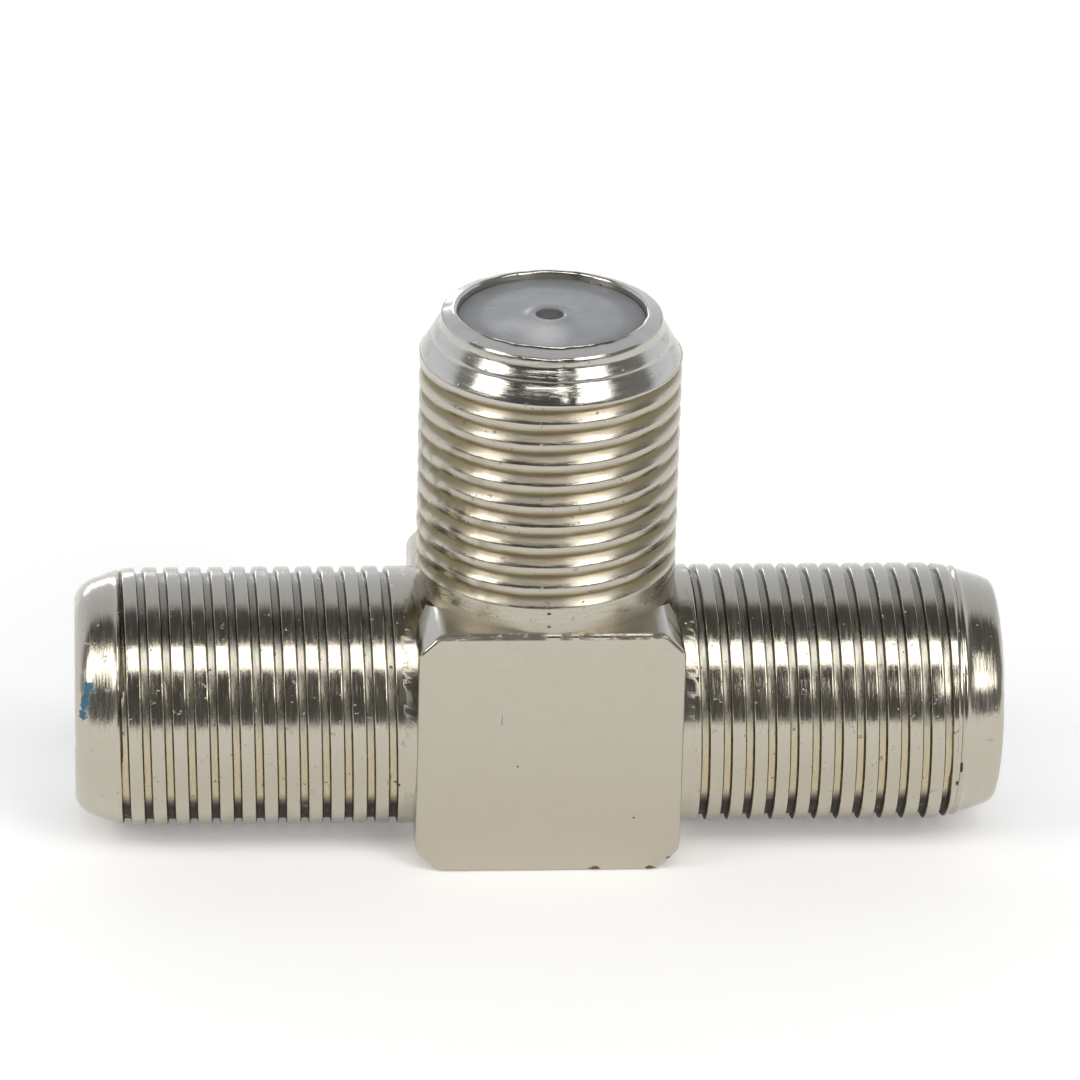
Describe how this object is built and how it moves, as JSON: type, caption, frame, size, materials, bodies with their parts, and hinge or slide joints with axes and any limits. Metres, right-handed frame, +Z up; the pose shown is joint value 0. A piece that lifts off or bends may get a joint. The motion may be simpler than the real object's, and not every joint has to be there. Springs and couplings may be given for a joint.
{
  "type": "coaxial splitter",
  "caption": "T-shaped coaxial splitter: a square metal block with threaded sockets to the left, to the right and on top, whose centre contacts are joined inside.",
  "frame": {"origin": "centre of the block's bottom face, under the branch port's axis", "axes": "+X along the through line to the shorter, right-hand port; -Y towards the face seen in the picture; +Z up the branch port"},
  "size_m": [0.0332, 0.0094, 0.0195],
  "materials": {
    "plating": "satin",
    "insulator": "matte",
    "contact": "satin"
  },
  "bodies": {
    "root": {"body": "plating", "left_insulator": "insulator", "right_insulator": "insulator", "branch_insulator": "insulator", "through_contact": "contact", "branch_contact": "contact"}
  },
  "joints": []
}
